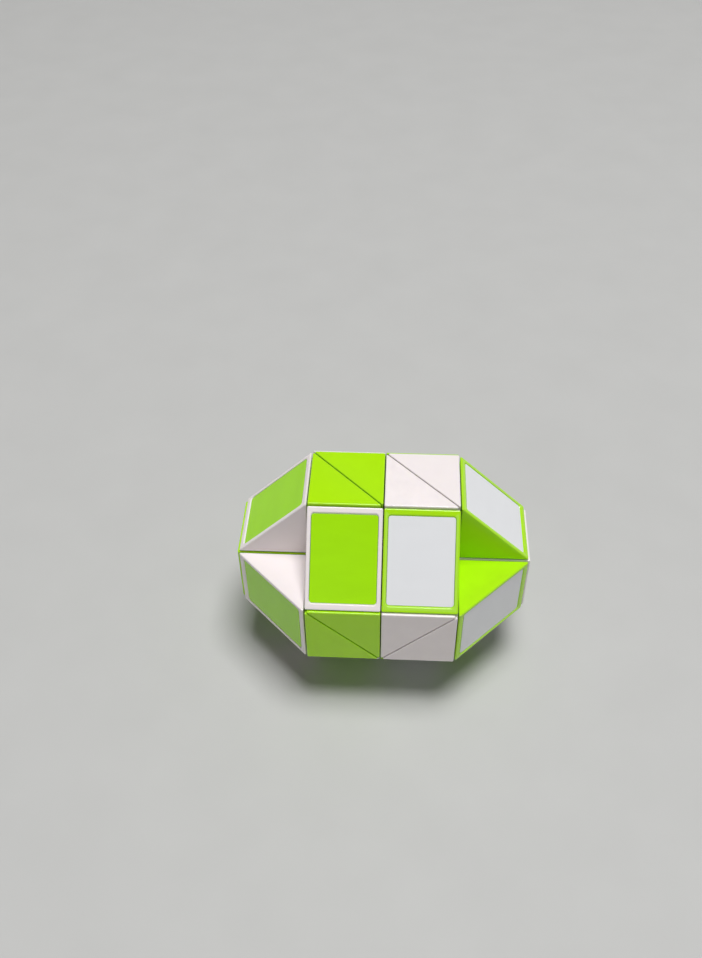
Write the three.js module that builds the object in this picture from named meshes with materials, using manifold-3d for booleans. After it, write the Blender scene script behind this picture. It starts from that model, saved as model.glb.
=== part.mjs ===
// Folding snake puzzle: thirty-six hollow triangular prisms joined face to face in one
// chain, shown folded up into its long ball. Millimetres, +Z up. The ball's long axis is X
// and the origin is the middle of the flat that it stands on.
//
// Every section has its own frame, in which it is described once:
//   - the origin is the centre of the square face that the previous section turns on;
//   - +Z points from that face into the section;
//   - Y runs along the prism, and the right-angled edge lies at -X.
// The other square face stands on the -X side and carries the next section.
import * as THREE from "three";
import { mergeVertices } from "three/addons/utils/BufferGeometryUtils.js";
import Module from "manifold-3d";

// Sections
const SECTION = 22.5;      // short side of the triangle, which is also the prism's width
const GAP = 0.3;           // clearance left between neighbouring sections
const BEVEL = 0.8;         // bevel along the outer edges
const WALL = 2.2;          // thickness of the square and triangular walls

// Cover plates, which close the large sloping face
const RIM = 1.5;           // shell wall left standing round a cover
const COVER_SINK = 0.2;    // depth of the cover's face below the rim
const COVER_THICK = 1.5;
const FIT = 0.3;           // clearance between a cover and its shell
const CLIP_LENGTH = 5;     // snap clips under the cover's two straight edges
const CLIP_THICK = 1;
const CLIP_DROP = 2.4;     // reach of a clip below the plate

// Pivots: a screw threaded into one section, turning in a bore of the section before it
const PIN_RADIUS = 2.5;
const BORE_RADIUS = 2.65;
const SPRING_ROOM = 1.4;   // space for the spring between the wall and the screw's head
const HEAD_RADIUS = 3.4;
const HEAD_THICK = 1.1;
const BOSS_RADIUS = 3.2;   // moulded post that the screw bites into
const BOSS_TOP = 5;
const ROUND_SIDES = 12;

// The fold. One letter a joint, counted from the straight snake: Left or Right for a
// quarter turn, Flip for a half turn, Straight for none.
const FOLD = "RLFRRLLRRLRLLRLRRFLLRLRRLRLLRLRRFLR";
const TURN = { L: Math.PI / 2, R: -Math.PI / 2, F: Math.PI, S: 0 };

// Where the first section's entry face lies, in section lengths from the ball's centre,
// the way into that section and the way from its middle to its right-angled edge.
const START = {
  face: new THREE.Vector3(0, 0, 1),
  inward: new THREE.Vector3(-1, 0, 0),
  edge: new THREE.Vector3(0, 1, 0),
};
const BALL_HEIGHT = 3;     // section lengths from the base to the top

const GREEN = new THREE.Color("#8fe000");
const WHITE = new THREE.Color("#ece8ea");

const wasm = await Module();
wasm.setup();

/** Turns a closed three.js geometry into a solid that can be joined and cut. */
function solid(geometry) {
  geometry.deleteAttribute("normal");
  geometry.deleteAttribute("uv");
  const merged = mergeVertices(geometry, 1e-4);
  const mesh = new wasm.Mesh({
    numProp: 3,
    vertProperties: Float32Array.from(merged.attributes.position.array),
    triVerts: Uint32Array.from(merged.index.array),
  });
  return new wasm.Manifold(mesh);
}

/** Turns a solid back into geometry for a mesh. */
function geometryOf(body) {
  const { vertProperties, triVerts } = body.getMesh();
  const geometry = new THREE.BufferGeometry();
  geometry.setAttribute("position", new THREE.BufferAttribute(vertProperties, 3));
  geometry.setIndex(new THREE.BufferAttribute(triVerts, 1));
  geometry.computeVertexNormals();
  return geometry;
}

/** Bar along Y whose cross-section is the outline given in X and Z. */
function bar(outline, width, bevel = 0) {
  const geometry = new THREE.ExtrudeGeometry(new THREE.Shape(outline), {
    depth: width - 2 * bevel,
    bevelEnabled: bevel > 0,
    bevelThickness: bevel,
    bevelSize: bevel,
    bevelOffset: -bevel,
    bevelSegments: 1,
  });
  geometry.translate(0, 0, bevel - width / 2);
  geometry.rotateX(Math.PI / 2);
  return solid(geometry);
}

/** Point of the section's triangle near its entry face, `inset` and `depth` inside it. */
function lowPoint(inset, depth) {
  return new THREE.Vector2(SECTION / 2 - depth * Math.SQRT2 - inset, inset);
}

/** The matching point near the other square face. */
function highPoint(inset, depth) {
  return new THREE.Vector2(inset - SECTION / 2, SECTION - depth * Math.SQRT2 - inset);
}

/** The section's triangle, `inset` inside the square faces and `depth` inside the slope. */
function triangle(inset, depth) {
  const rightAngle = new THREE.Vector2(inset - SECTION / 2, inset);
  return [rightAngle, lowPoint(inset, depth), highPoint(inset, depth)];
}

/** A layer of that triangle that lies between two depths below the slope. */
function layer(inset, top, bottom) {
  return [
    lowPoint(inset, bottom),
    lowPoint(inset, top),
    highPoint(inset, top),
    highPoint(inset, bottom),
  ];
}

/** Cuts every corner of an outline off where a rounding of `radius` would begin. */
function blunt(outline, radius) {
  return outline.flatMap((corner, i) => {
    const toBefore = outline.at(i - 1).clone().sub(corner);
    const toAfter = outline[(i + 1) % outline.length].clone().sub(corner);
    const size = radius / Math.tan(toBefore.angleTo(toAfter) / 2);
    return [toBefore, toAfter].map((side) => side.setLength(size).add(corner));
  });
}

const FACE = GAP / 2;                                  // outer faces, inside the nominal ones
const COVER_TOP = FACE + COVER_SINK;
const COVER_BOTTOM = COVER_TOP + COVER_THICK;
const CAVITY_WIDTH = SECTION - 2 * (FACE + WALL);

/** Opening in the sloping face with the ledge that its cover rests on. */
function coverPocket() {
  const width = SECTION - 2 * (FACE + RIM);
  return bar(layer(FACE + RIM, -FIT, COVER_BOTTOM + FIT), width);
}

/** Bore in the square face that carries the next section. */
function pivotBore() {
  const geometry = new THREE.CylinderGeometry(
    BORE_RADIUS, BORE_RADIUS, 2 * (FACE + WALL) + FIT, ROUND_SIDES);
  geometry.rotateZ(Math.PI / 2);
  geometry.translate(-SECTION / 2, 0, SECTION / 2);
  return solid(geometry);
}

/** Post behind the entry face with its screw, whose head sits inside the section before. */
function pivotScrew() {
  const headTop = -(FACE + WALL + SPRING_ROOM);
  const profile = [
    [0, headTop - HEAD_THICK],
    [HEAD_RADIUS, headTop - HEAD_THICK],
    [HEAD_RADIUS, headTop],
    [PIN_RADIUS, headTop],
    [PIN_RADIUS, FACE + WALL / 2],
    [BOSS_RADIUS, FACE + WALL / 2],
    [BOSS_RADIUS, BOSS_TOP],
    [0, BOSS_TOP],
  ].map(([radius, height]) => new THREE.Vector2(radius, height));
  const geometry = new THREE.LatheGeometry(profile, ROUND_SIDES);
  geometry.rotateX(Math.PI / 2);
  return solid(geometry);
}

/** Hollow shell, either open at the slope for a cover or with the slope moulded shut. */
function shell(isOpen, hasScrew) {
  const outline = blunt(triangle(FACE, FACE), BEVEL);
  const depth = isOpen ? -FIT : COVER_BOTTOM;
  let body = bar(outline, SECTION - GAP, BEVEL)
    .subtract(bar(triangle(FACE + WALL, depth), CAVITY_WIDTH));
  if (isOpen) body = body.subtract(coverPocket());
  if (hasScrew) body = body.add(pivotScrew());
  return body.subtract(pivotBore());
}

/** Plate that closes the slope, with a snap clip under each straight edge. */
function cover() {
  const inset = FACE + RIM + FIT;
  const plate = bar(layer(inset, COVER_TOP, COVER_BOTTOM), SECTION - 2 * inset);
  return [-1, 1].reduce((body, side) => body.add(snapClip(side)), plate);
}

function snapClip(side) {
  const overlap = COVER_THICK / 2;
  const height = CLIP_DROP + overlap;
  const geometry = new THREE.BoxGeometry(CLIP_LENGTH, CLIP_THICK, height);
  const out = CAVITY_WIDTH / 2 - FIT - CLIP_THICK / 2;
  geometry.translate(0, side * out, height / 2 - CLIP_DROP - COVER_BOTTOM);
  geometry.rotateY(Math.PI / 4);
  geometry.translate(0, 0, SECTION / 2);
  return solid(geometry);
}

const BALL_CENTRE = new THREE.Vector3(0, 0, (BALL_HEIGHT / 2) * SECTION - FACE);
const SLOPE_NORMAL = new THREE.Vector3(1, 0, 1).normalize();
const STRAIGHT_ON = new THREE.Vector3(1, 0, -1).normalize();   // axis of an unturned joint

/** Frame of the first section. */
function startFrame() {
  const frame = new THREE.Group();
  const across = START.edge.clone().negate();
  const along = START.inward.clone().cross(across);
  const basis = new THREE.Matrix4().makeBasis(across, along, START.inward);
  frame.quaternion.setFromRotationMatrix(basis);
  frame.position.copy(START.face).multiplyScalar(SECTION).add(BALL_CENTRE);
  return frame;
}

/** Frame of the section after `frame`, turned on its pivot. */
function nextFrame(frame, turn) {
  const next = new THREE.Group();
  next.position.set(-SECTION / 2, 0, SECTION / 2);
  next.quaternion.setFromAxisAngle(STRAIGHT_ON, Math.PI);
  next.rotateZ(turn);
  frame.add(next);
  return next;
}

/** Whether a section's sloping face lies on the outside of the folded ball. */
function isExposed(frame) {
  frame.updateWorldMatrix(true, false);
  const middle = frame.localToWorld(new THREE.Vector3(0, 0, SECTION / 2));
  const normal = SLOPE_NORMAL.clone().transformDirection(frame.matrixWorld);
  return middle.sub(BALL_CENTRE).dot(normal) > SECTION;
}

function plastic(color) {
  return new THREE.MeshStandardMaterial({ color, roughness: 0.25, metalness: 0 });
}

function named(name, geometry, color) {
  const mesh = new THREE.Mesh(geometry, plastic(color));
  mesh.name = name;
  return mesh;
}

// Sections are green and white by turns, each with a cover of the other colour. Covers
// that show are pieces of their own; those pressed together inside are moulded shut.
const ball = new THREE.Group();
const coverGeometry = geometryOf(cover());
let frame = startFrame();
ball.add(frame);
for (let i = 0; i <= FOLD.length; i += 1) {
  if (i > 0) frame = nextFrame(frame, TURN[FOLD[i - 1]]);
  const number = String(i + 1).padStart(2, "0");
  const exposed = isExposed(frame);
  const [own, other] = i % 2 === 0 ? [GREEN, WHITE] : [WHITE, GREEN];
  frame.add(named(`shell_${number}`, geometryOf(shell(exposed, i > 0)), own));
  if (exposed) frame.add(named(`cover_${number}`, coverGeometry, other));
}

export default ball;
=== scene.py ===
"""Looks of the folding snake puzzle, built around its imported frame. Metres, +Z up.

Every section is described once in its own frame, as in the CAD model: the origin is the
centre of the square face that the previous section turns on, +Z points into the section,
Y runs along the prism and the right-angled edge lies at -X.
"""

import math

import bmesh
import bpy
from mathutils import Matrix, Vector


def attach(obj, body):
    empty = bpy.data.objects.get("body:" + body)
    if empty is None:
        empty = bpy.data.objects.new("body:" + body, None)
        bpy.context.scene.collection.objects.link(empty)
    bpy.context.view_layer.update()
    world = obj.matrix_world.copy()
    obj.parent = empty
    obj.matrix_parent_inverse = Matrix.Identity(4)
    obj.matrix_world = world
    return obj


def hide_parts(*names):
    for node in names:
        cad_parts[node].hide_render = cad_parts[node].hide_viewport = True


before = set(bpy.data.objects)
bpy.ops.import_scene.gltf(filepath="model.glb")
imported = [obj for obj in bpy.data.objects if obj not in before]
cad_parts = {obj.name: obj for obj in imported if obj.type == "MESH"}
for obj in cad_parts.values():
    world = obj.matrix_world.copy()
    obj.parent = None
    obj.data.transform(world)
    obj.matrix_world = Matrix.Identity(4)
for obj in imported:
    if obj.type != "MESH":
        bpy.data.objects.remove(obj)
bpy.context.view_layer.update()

MM = 0.001

# Sections
SECTION = 22.5 * MM        # short side of the triangle, which is also the prism's width
FACE = 0.15 * MM           # outer faces lie this far inside the nominal ones, as in the CAD
PAST = 1.0 * MM            # how far a cutting shape reaches past the face that it cuts
WALL = 2.2 * MM
ROUND_EDGE = 0.4 * MM      # where the rounding of a right-angled edge begins
ROUND_ACUTE = 1.0 * MM     # the same for the two sharp edges beside the slope
ROUND_STEPS = 6

# Cover plates
RIM = 1.5 * MM             # shell wall left standing round a cover, at its sharp edges
SIDE_RIM = 1.2 * MM        # the same at its triangular walls
RIM_CORNER = 0.9 * MM
RIM_CHAMFER = 0.12 * MM
COVER_SINK = 0.2 * MM
COVER_THICK = 1.5 * MM
COVER_GAP = 0.08 * MM
COVER_ROUND = 0.25 * MM
COVER_STEPS = 4
CLIP = Vector((5, 1, 2.4)) * MM     # length, thickness and reach of a snap clip
CLIP_CORNER = 0.3 * MM
CLIP_FIT = 0.3 * MM        # between a clip and the triangular wall beside it

# Pivots
BORE_RADIUS = 2.65 * MM
SLEEVE_RADIUS = 2.5 * MM
POST_RADIUS = 3.2 * MM
POST_TOP = 5 * MM
SHANK_RADIUS = 1.2 * MM
SHANK_FIT = 0.1 * MM       # between the shank and its hole
TIP_START = 0.8 * MM       # the shank's pointed end, measured back from the post's top
TIP_END = 0.2 * MM
TIP_SHARE = 0.4            # of the shank's radius, at the very end
HEAD_RADIUS = 3.3 * MM
HEAD_THICK = 1.1 * MM
# Dome of the screw's head: share of its radius, and height from the outer end
HEAD_DOME = ((0.5, 0), (0.72, 0.04 * MM), (0.9, 0.16 * MM), (0.98, 0.34 * MM), (1.0, 0.6 * MM))
# Cross recess: reach, half width and height from the outer end, at its mouth and its foot
RECESS = ((1.7 * MM, 0.28 * MM, -0.1 * MM), (1.0 * MM, 0.18 * MM, 0.75 * MM))
SPRING_ROOM = 1.4 * MM
SPRING_RADIUS = 2.95 * MM
SPRING_TURNS = 3
WIRE_RADIUS = 0.18 * MM
SPRING_CLEAR = 0.03 * MM   # between the wire and the faces that it is squeezed by
HUB_RADIUS = 6.2 * MM      # round click plate in the middle of each square face
HUB_FIT = 0.3 * MM
HUB_RISE = 0.1 * MM
HUB_SINK = 0.3 * MM
CLICK_INSET = 0.4 * MM     # from the click plate's edge to the ends of its grooves
CLICK_WIDTH = 1.0 * MM     # grooves that stop a section at each quarter turn
CLICK_DEPTH = 0.5 * MM

# The fold: one letter a pivot, as in the CAD model
FOLD = "RLFRRLLRRLRLLRLRRFLLRLRRLRLLRLRRFLR"
TURN = {"L": math.pi / 2, "R": -math.pi / 2, "F": math.pi}
START_FACE = Vector((0, 0, 1))
START_INWARD = Vector((-1, 0, 0))
START_EDGE = Vector((0, 1, 0))
BALL_CENTRE = Vector((0, 0, 1.5 * SECTION - FACE))

LIME = (0.43, 0.82, 0.0)
DEEP_LIME = (0.38, 0.81, 0.0)
WARM_WHITE = (0.9, 0.83, 0.825)
COOL_WHITE = (0.82, 0.83, 0.85)
STEEL = (0.56, 0.55, 0.53)
PAPER = ((0.50, 0.50, 0.49), (0.54, 0.54, 0.53))

# Finish of the plastic. Scales are in waves a metre.
SHELL_ROUGHNESS = 0.2
COVER_ROUGHNESS = 0.24
ROUGHNESS_SPREAD = 0.02
SHELL_GLOW = 0.12          # the shells let a little light through, the covers none
GLOW_REACH = 1.2 * MM
CLOUD_SCALE = 220.0
CLOUD_STRETCH = (1.0, 0.3, 1.0)
SMEAR_SCALE = 260.0
PEEL_SCALE = 150.0
PEEL_HEIGHT = 0.012 * MM
GRAIN_SCALE = 2600.0
GRAIN_HEIGHT = 0.0015 * MM
EDGE_PAINTED_HIGHLIGHT = 0.18          # how far the painted highlight on convex edges goes towards white
EDGE_HIGHLIGHT_SHARE = 0.35

# Finish of the steel
DULL_SCALE = 700.0
STEEL_ROUGHNESS = (0.22, 0.4)
DRAWN_SCALE = 4000.0
DRAWN_HEIGHT = 0.003 * MM

# Stage: place, width and power of each lamp, and the backdrop
FLOOR_HALF = 4.0
PAPER_SCALE = 40.0
PAPER_ROUGHNESS = 0.7
KEY = ((0.3, -0.12, 2.7), 1.2, 72.0)
FILL = ((-0.6, -0.6, 0.45), 0.5, 0.15)
AIM = (0, 0, 0.03)
BACKDROP_RISE = (0.1, 0.6)         # heights between which it darkens
BACKDROP_STRENGTH = (0.42, 0.06)   # beside the object and overhead

# Camera: the photograph's viewing angle, in degrees
AZIMUTH, ELEVATION, ROLL = -3.64, 44.96, -0.95
SENSOR = 36.0
LENS = 37.9225
CAMERA_OFFSET = Vector((3.42, -213.04, 246.13)) * MM    # from the ball's centre


# ---------------------------------------------------------------- mesh building


def scene_object(name, mesh):
    made = bpy.data.objects.new(name, mesh)
    bpy.context.scene.collection.objects.link(made)
    return made


def loft(rings, name="tool"):
    """Closed mesh through rings of as many points each, with both ends capped."""
    bm = bmesh.new()
    loops = [[bm.verts.new(point) for point in ring] for ring in rings]
    count = len(loops[0])
    for low, high in zip(loops, loops[1:]):
        for i in range(count):
            j = (i + 1) % count
            bm.faces.new((low[i], low[j], high[j], high[i]))
    bm.faces.new(loops[0])
    bm.faces.new(loops[-1])
    bmesh.ops.recalc_face_normals(bm, faces=bm.faces)
    mesh = bpy.data.meshes.new(name)
    bm.to_mesh(mesh)
    bm.free()
    return scene_object(name, mesh)


def bar(outline, width):
    """Bar along Y whose cross-section is the outline, given as pairs of X and Z."""
    return loft([[Vector((x, y, z)) for x, z in outline] for y in (-width / 2, width / 2)])


def circle(radius, height, steps=40):
    turn = 2 * math.pi / steps
    return [
        Vector((radius * math.cos(i * turn), radius * math.sin(i * turn), height))
        for i in range(steps)
    ]


def rounded_rectangle(half, radius, height, steps=6):
    """Ring at a height, `half` being its half length and half width."""
    ring = []
    for quarter in range(4):
        start = quarter * math.pi / 2
        sign_x = 1 if quarter in (0, 3) else -1
        sign_y = 1 if quarter in (0, 1) else -1
        centre = Vector((sign_x * (half[0] - radius), sign_y * (half[1] - radius), height))
        for i in range(steps + 1):
            angle = start + i * math.pi / 2 / steps
            ring.append(centre + radius * Vector((math.cos(angle), math.sin(angle), 0)))
    return ring


def settled(target):
    """Applies the object's modifiers to its mesh."""
    graph = bpy.context.evaluated_depsgraph_get()
    mesh = bpy.data.meshes.new_from_object(target.evaluated_get(graph), depsgraph=graph)
    target.modifiers.clear()
    target.data = mesh
    return target


def combined(target, tool, operation, place=None):
    """Cuts the tool from the target, or joins it, and removes the tool."""
    if place is not None:
        tool.data.transform(place)
    modifier = target.modifiers.new("combine", "BOOLEAN")
    modifier.object = tool
    modifier.operation = operation
    modifier.solver = "EXACT"
    settled(target)
    bpy.data.objects.remove(tool)
    return target


def finished(target, sharp=30.0):
    """Smooth shading that keeps the flat faces flat."""
    mesh = target.data
    mesh.shade_smooth()
    mesh.set_sharp_from_angle(angle=math.radians(sharp))
    modifier = target.modifiers.new("normals", "WEIGHTED_NORMAL")
    modifier.keep_sharp = True
    settled(target)
    mesh = target.data
    bpy.data.objects.remove(target)
    return mesh


# ---------------------------------------------------------------- section geometry

SLOPE = Matrix.Translation((0, 0, SECTION / 2)) @ Matrix.Rotation(math.pi / 4, 4, "Y")
EXIT_FACE = Matrix.Translation((-SECTION / 2, 0, SECTION / 2)) @ Matrix.Rotation(
    -math.pi / 2, 4, "Y"
)
HEAD_TOP = -(FACE + WALL + SPRING_ROOM)
COVER_TOP = FACE + COVER_SINK
COVER_BOTTOM = COVER_TOP + COVER_THICK


def triangle(inset, depth):
    """The section's triangle, `inset` inside the square faces and `depth` inside the slope."""
    reach = depth * math.sqrt(2)
    return [
        (inset - SECTION / 2, inset),
        (SECTION / 2 - reach - inset, inset),
        (inset - SECTION / 2, SECTION - reach - inset),
    ]


def slope_ring(inset, depth, corner):
    """Rounded rectangle inside the rim, at a depth below the slope. Its ends lean with
    the square faces."""
    half_length = (SECTION - 2 * (FACE + RIM)) / math.sqrt(2) - depth - inset
    half_width = SECTION / 2 - FACE - SIDE_RIM - inset
    return rounded_rectangle((half_length, half_width), corner, -depth)


def rounded_prism():
    width = SECTION - 2 * FACE
    body = bar(triangle(FACE, FACE), width)
    bm = bmesh.new()
    bm.from_mesh(body.data)
    weight = bm.edges.layers.float.new("bevel_weight_edge")
    for edge in bm.edges:
        ends = [v.co for v in edge.verts]
        runs_along = abs(ends[0].y - ends[1].y) > width / 2
        is_acute = runs_along and ends[0].x + ends[0].z > 0
        edge[weight] = 1.0 if is_acute else ROUND_EDGE / ROUND_ACUTE
    bm.to_mesh(body.data)
    bm.free()
    bevel = body.modifiers.new("rounding", "BEVEL")
    bevel.limit_method = "WEIGHT"
    bevel.width = ROUND_ACUTE
    bevel.segments = ROUND_STEPS
    return settled(body)


def cross_ring(reach, half, height):
    """Outline of a cross, `half` being half the width of its arms."""
    corners = [(reach, -half), (reach, half), (half, half)]
    ring = []
    for c, s in ((1, 0), (0, 1), (-1, 0), (0, -1)):
        ring += [Vector((x * c - y * s, x * s + y * c, height)) for x, y in corners]
    return ring


def shell_mesh(has_post):
    body = rounded_prism()
    cavity = bar(triangle(FACE + WALL, -PAST), SECTION - 2 * (FACE + WALL))
    combined(body, cavity, "DIFFERENCE")
    pocket = loft([
        slope_ring(0, COVER_BOTTOM + COVER_GAP, RIM_CORNER),
        slope_ring(0, FACE + RIM_CHAMFER, RIM_CORNER),
        slope_ring(-RIM_CHAMFER, FACE, RIM_CORNER + RIM_CHAMFER),
        slope_ring(-RIM_CHAMFER - PAST, FACE - PAST, RIM_CORNER + RIM_CHAMFER),
    ])
    combined(body, pocket, "DIFFERENCE", SLOPE)
    # the face that carries the next section: a sunk click plate round the bore
    sunk = -(FACE + HUB_SINK)
    plate = loft([circle(HUB_RADIUS, sunk), circle(HUB_RADIUS, PAST)])
    combined(body, plate, "DIFFERENCE", EXIT_FACE)
    grooves = loft([
        cross_ring(HUB_RADIUS - CLICK_INSET, CLICK_WIDTH / 2, sunk + height)
        for height in (-CLICK_DEPTH, CLICK_DEPTH)
    ])
    combined(body, grooves, "DIFFERENCE", EXIT_FACE)
    bore = loft([circle(BORE_RADIUS, -(FACE + WALL + PAST)), circle(BORE_RADIUS, PAST)])
    combined(body, bore, "DIFFERENCE", EXIT_FACE)
    if has_post:
        # the entry face: a slightly raised hub and the post that takes the screw
        hub = loft([
            circle(HUB_RADIUS - HUB_FIT, FACE + WALL / 2),
            circle(HUB_RADIUS - HUB_FIT, FACE - HUB_RISE),
        ])
        combined(body, hub, "UNION")
        post = loft([
            circle(SLEEVE_RADIUS, HEAD_TOP),
            circle(SLEEVE_RADIUS, FACE + WALL / 2),
            circle(POST_RADIUS, FACE + WALL / 2),
            circle(POST_RADIUS, POST_TOP),
        ])
        combined(body, post, "UNION")
        hole = loft([
            circle(SHANK_RADIUS, HEAD_TOP - PAST),
            circle(SHANK_RADIUS, POST_TOP + PAST),
        ])
        combined(body, hole, "DIFFERENCE")
    return finished(body)


def cover_mesh():
    rings = [slope_ring(COVER_GAP, COVER_BOTTOM, RIM_CORNER - COVER_GAP)]
    for i in range(COVER_STEPS + 1):
        angle = i / COVER_STEPS * math.pi / 2
        inwards = COVER_ROUND * (1 - math.cos(angle))
        depth = COVER_TOP + COVER_ROUND * (1 - math.sin(angle))
        corner = RIM_CORNER - COVER_GAP - inwards / 2
        rings.append(slope_ring(COVER_GAP + inwards, depth, corner))
    plate = loft(rings)
    out = SECTION / 2 - FACE - WALL - CLIP_FIT - CLIP.y / 2
    foot = rounded_rectangle((CLIP.x / 2, CLIP.y / 2), CLIP_CORNER, 0)
    ends = (-(COVER_BOTTOM + CLIP.z), -COVER_BOTTOM + COVER_THICK / 2)
    for side in (-1, 1):
        clip = loft([[p + Vector((0, side * out, end)) for p in foot] for end in ends])
        combined(plate, clip, "UNION")
    plate.data.transform(SLOPE)
    return finished(plate)


def screw_mesh():
    outer = HEAD_TOP - HEAD_THICK
    shank = SHANK_RADIUS - SHANK_FIT
    screw = loft([
        *(circle(HEAD_RADIUS * share, outer + height) for share, height in HEAD_DOME),
        circle(HEAD_RADIUS, HEAD_TOP),
        circle(shank, HEAD_TOP),
        circle(shank, POST_TOP - TIP_START),
        circle(shank * TIP_SHARE, POST_TOP - TIP_END),
    ])
    recess = loft([cross_ring(reach, half, outer + height) for reach, half, height in RECESS])
    combined(screw, recess, "DIFFERENCE")
    return finished(screw)


def spring_mesh():
    """Short coil between the wall that the sleeve turns in and the screw's head."""
    steps_a_turn, sides, flat_turn = 24, 8, 0.5
    low = HEAD_TOP + WIRE_RADIUS + SPRING_CLEAR
    high = -(FACE + WALL) - WIRE_RADIUS - SPRING_CLEAR
    rings = []
    for i in range(SPRING_TURNS * steps_a_turn + 1):
        turned = i / steps_a_turn
        angle = 2 * math.pi * turned
        out = Vector((math.cos(angle), math.sin(angle), 0))
        # half a turn lies flat at each end
        eased = min(max((turned - flat_turn) / (SPRING_TURNS - 2 * flat_turn), 0), 1)
        centre = SPRING_RADIUS * out + Vector((0, 0, low + (high - low) * eased))
        rings.append([
            centre + WIRE_RADIUS * (math.cos(a) * out + math.sin(a) * Vector((0, 0, 1)))
            for a in (2 * math.pi * k / sides for k in range(sides))
        ])
    return finished(loft(rings), 60.0)


# ---------------------------------------------------------------- materials


def node(tree, kind, **sockets):
    made = tree.nodes.new(kind)
    for name, value in sockets.items():
        made.inputs[name].default_value = value
    return made


def noise(tree, vector, scale, detail=3.0):
    made = node(tree, "ShaderNodeTexNoise", Scale=scale, Detail=detail)
    tree.links.new(vector, made.inputs["Vector"])
    return made.outputs["Fac"]


def remap(tree, value, low, high, to_low, to_high):
    made = tree.nodes.new("ShaderNodeMapRange")
    tree.links.new(value, made.inputs["Value"])
    for name, number in (("From Min", low), ("From Max", high),
                         ("To Min", to_low), ("To Max", to_high)):
        made.inputs[name].default_value = number
    return made.outputs["Result"]


def mix_colour(tree, factor, a, b):
    made = tree.nodes.new("ShaderNodeMix")
    made.data_type = "RGBA"
    tree.links.new(factor, made.inputs["Factor"])
    for socket, value in ((made.inputs["A"], a), (made.inputs["B"], b)):
        if isinstance(value, tuple):
            socket.default_value = (*value, 1.0)
        else:
            tree.links.new(value, socket)
    return made.outputs["Result"]


def bump(tree, height, distance, strength=1.0, below=None):
    made = node(tree, "ShaderNodeBump", Strength=strength, Distance=distance)
    tree.links.new(height, made.inputs["Height"])
    if below is not None:
        tree.links.new(below, made.inputs["Normal"])
    return made.outputs["Normal"]


def scaled(colour, factor):
    return tuple(min(channel * factor, 1.0) for channel in colour)


def plastic(name, colour, roughness, glow):
    """Glossy moulded plastic: faint flow clouds, softly lit edges, handling marks."""
    material = bpy.data.materials.new(name)
    material.use_nodes = True
    tree = material.node_tree
    shader = tree.nodes["Principled BSDF"]
    place = tree.nodes.new("ShaderNodeTexCoord").outputs["Object"]
    each = tree.nodes.new("ShaderNodeObjectInfo").outputs["Random"]
    offset = tree.nodes.new("ShaderNodeVectorMath")
    offset.operation = "ADD"
    tree.links.new(place, offset.inputs[0])
    tree.links.new(each, offset.inputs[1])
    place = offset.outputs["Vector"]

    # melt runs along the prism as it fills the mould, so the clouds are drawn out that way
    drawn_out = tree.nodes.new("ShaderNodeVectorMath")
    drawn_out.operation = "MULTIPLY"
    drawn_out.inputs[1].default_value = CLOUD_STRETCH
    tree.links.new(place, drawn_out.inputs[0])
    clouds = noise(tree, drawn_out.outputs["Vector"], CLOUD_SCALE, 4.0)
    # each piece's own batch of plastic
    base = mix_colour(tree, each, scaled(colour, 0.97), scaled(colour, 1.03))
    tinted = mix_colour(tree, remap(tree, clouds, 0.3, 0.7, 0.0, 1.0),
                        scaled(colour, 0.965), base)
    # painted highlight: convex edges, picked out by pointiness, are lightened towards white in the
    # base colour
    pointiness = tree.nodes.new("ShaderNodeNewGeometry").outputs["Pointiness"]
    edge = remap(tree, pointiness, 0.52, 0.62, 0.0, EDGE_HIGHLIGHT_SHARE)
    light = tuple(channel + (1.0 - channel) * EDGE_PAINTED_HIGHLIGHT for channel in colour)
    tree.links.new(mix_colour(tree, edge, tinted, light), shader.inputs["Base Color"])

    smears = noise(tree, place, SMEAR_SCALE, 5.0)
    rubbed = remap(tree, smears, 0.35, 0.7,
                   roughness - ROUGHNESS_SPREAD, roughness + ROUGHNESS_SPREAD)
    tree.links.new(rubbed, shader.inputs["Roughness"])
    peel = bump(tree, noise(tree, place, PEEL_SCALE, 1.0), PEEL_HEIGHT)
    grain = bump(tree, noise(tree, place, GRAIN_SCALE, 2.0), GRAIN_HEIGHT, 0.5, peel)
    tree.links.new(grain, shader.inputs["Normal"])

    shader.inputs["IOR"].default_value = 1.5
    shader.inputs["Subsurface Weight"].default_value = glow
    shader.inputs["Subsurface Radius"].default_value = (0.9, 1.0, 0.6)
    shader.inputs["Subsurface Scale"].default_value = GLOW_REACH
    return material


def steel(name):
    material = bpy.data.materials.new(name)
    material.use_nodes = True
    tree = material.node_tree
    shader = tree.nodes["Principled BSDF"]
    place = tree.nodes.new("ShaderNodeTexCoord").outputs["Object"]
    dull = noise(tree, place, DULL_SCALE, 4.0)
    tree.links.new(mix_colour(tree, dull, scaled(STEEL, 0.8), STEEL),
                   shader.inputs["Base Color"])
    tree.links.new(remap(tree, dull, 0.3, 0.7, *STEEL_ROUGHNESS), shader.inputs["Roughness"])
    tree.links.new(bump(tree, noise(tree, place, DRAWN_SCALE), DRAWN_HEIGHT),
                   shader.inputs["Normal"])
    shader.inputs["Metallic"].default_value = 1.0
    return material


# ---------------------------------------------------------------- the chain


def section_frames():
    across = -START_EDGE
    along = START_INWARD.cross(across)
    basis = Matrix((across, along, START_INWARD)).transposed().to_4x4()
    place = Matrix.Translation(START_FACE * SECTION + BALL_CENTRE) @ basis
    onward = Matrix.Translation((-SECTION / 2, 0, SECTION / 2)) @ Matrix.Rotation(
        math.pi, 4, Vector((1, 0, -1))
    )
    frames = [place]
    for letter in FOLD:
        place = place @ onward @ Matrix.Rotation(TURN[letter], 4, "Z")
        frames.append(place)
    return frames


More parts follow.
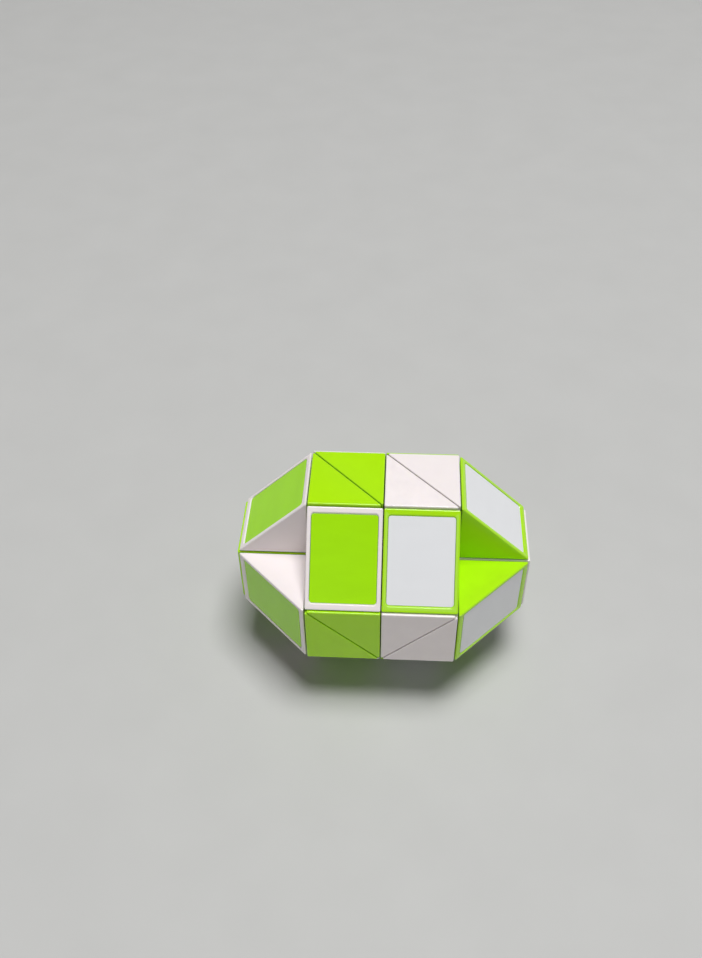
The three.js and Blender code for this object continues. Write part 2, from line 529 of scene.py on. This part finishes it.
def add_piece(name, mesh, material, place, body, nodes=()):
    if not mesh.materials:
        mesh.materials.append(material)
    piece = scene_object(name, mesh)
    piece.material_slots[0].link = "OBJECT"
    piece.material_slots[0].material = material
    piece.matrix_world = place
    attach(piece, body)
    if nodes:
        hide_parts(*nodes)


def build_chain():
    shells = {
        "green": plastic("green_shell_plastic", LIME, SHELL_ROUGHNESS, SHELL_GLOW),
        "white": plastic("white_shell_plastic", WARM_WHITE, SHELL_ROUGHNESS, SHELL_GLOW),
    }
    covers = {
        "green": plastic("green_cover_plastic", DEEP_LIME, COVER_ROUGHNESS, 0.0),
        "white": plastic("white_cover_plastic", COOL_WHITE, COVER_ROUGHNESS, 0.0),
    }
    metal = steel("bright_steel")
    first_shell, shell, cover = shell_mesh(False), shell_mesh(True), cover_mesh()
    screw, spring = screw_mesh(), spring_mesh()
    for i, place in enumerate(section_frames()):
        number = f"{i + 1:02d}"
        body = f"section_{number}"
        own, other = ("green", "white") if i % 2 == 0 else ("white", "green")
        add_piece(f"shell_{number}.looks", shell if i else first_shell, shells[own], place,
                  body, [f"shell_{number}"])
        node_name = f"cover_{number}"
        add_piece(f"{node_name}.looks", cover, covers[other], place, body,
                  [node_name] if node_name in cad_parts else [])
        if i:
            add_piece(f"screw_{i:02d}.looks", screw, metal, place, body)
            add_piece(f"spring_{i:02d}.looks", spring, metal, place, body)


# ---------------------------------------------------------------- floor, light, camera


def build_stage():
    mesh = bpy.data.meshes.new("floor")
    corners = [(x * FLOOR_HALF, y * FLOOR_HALF, 0) for x, y in ((-1, -1), (1, -1), (1, 1), (-1, 1))]
    mesh.from_pydata(corners, [], [(0, 1, 2, 3)])
    floor = scene_object("floor", mesh)
    material = bpy.data.materials.new("floor_paper")
    material.use_nodes = True
    tree = material.node_tree
    place = tree.nodes.new("ShaderNodeTexCoord").outputs["Object"]
    shader = tree.nodes["Principled BSDF"]
    tree.links.new(mix_colour(tree, noise(tree, place, PAPER_SCALE), *PAPER),
                   shader.inputs["Base Color"])
    shader.inputs["Roughness"].default_value = PAPER_ROUGHNESS
    mesh.materials.append(material)


def area_light(name, at, size, power):
    data = bpy.data.lights.new(name, "AREA")
    data.shape = "DISK"
    data.size = size
    data.energy = power
    lamp = bpy.data.objects.new(name, data)
    bpy.context.scene.collection.objects.link(lamp)
    lamp.location = at
    lamp.rotation_euler = (Vector(AIM) - Vector(at)).to_track_quat("-Z", "Y").to_euler()


def build_light():
    area_light("key", *KEY)
    area_light("fill", *FILL)
    world = bpy.data.worlds.new("studio")
    world.use_nodes = True
    tree = world.node_tree
    background = tree.nodes["Background"]
    background.inputs["Color"].default_value = (1.0, 1.0, 1.0, 1.0)
    # a pale backdrop all round, darker overhead, where the lamps hang
    direction = tree.nodes.new("ShaderNodeTexCoord").outputs["Generated"]
    height = tree.nodes.new("ShaderNodeSeparateXYZ")
    tree.links.new(direction, height.inputs["Vector"])
    strength = remap(tree, height.outputs["Z"], *BACKDROP_RISE, *BACKDROP_STRENGTH)
    tree.links.new(strength, background.inputs["Strength"])
    bpy.context.scene.world = world
    bpy.context.scene.view_settings.view_transform = "Standard"


def build_camera():
    azimuth, elevation, roll = (math.radians(a) for a in (AZIMUTH, ELEVATION, ROLL))
    forward = Vector((math.sin(azimuth) * math.cos(elevation),
                      math.cos(azimuth) * math.cos(elevation),
                      -math.sin(elevation)))
    right = Vector((math.cos(azimuth), -math.sin(azimuth), 0))
    up = right.cross(forward)
    turned_right = math.cos(roll) * right + math.sin(roll) * up
    turned_up = math.cos(roll) * up - math.sin(roll) * right
    data = bpy.data.cameras.new("camera")
    data.sensor_width = SENSOR
    data.lens = LENS
    data.clip_start = 0.01
    camera = bpy.data.objects.new("camera", data)
    bpy.context.scene.collection.objects.link(camera)
    basis = Matrix((turned_right, turned_up, -forward)).transposed().to_4x4()
    camera.matrix_world = Matrix.Translation(BALL_CENTRE + CAMERA_OFFSET) @ basis
    bpy.context.scene.camera = camera


build_chain()
build_stage()
build_light()
build_camera()
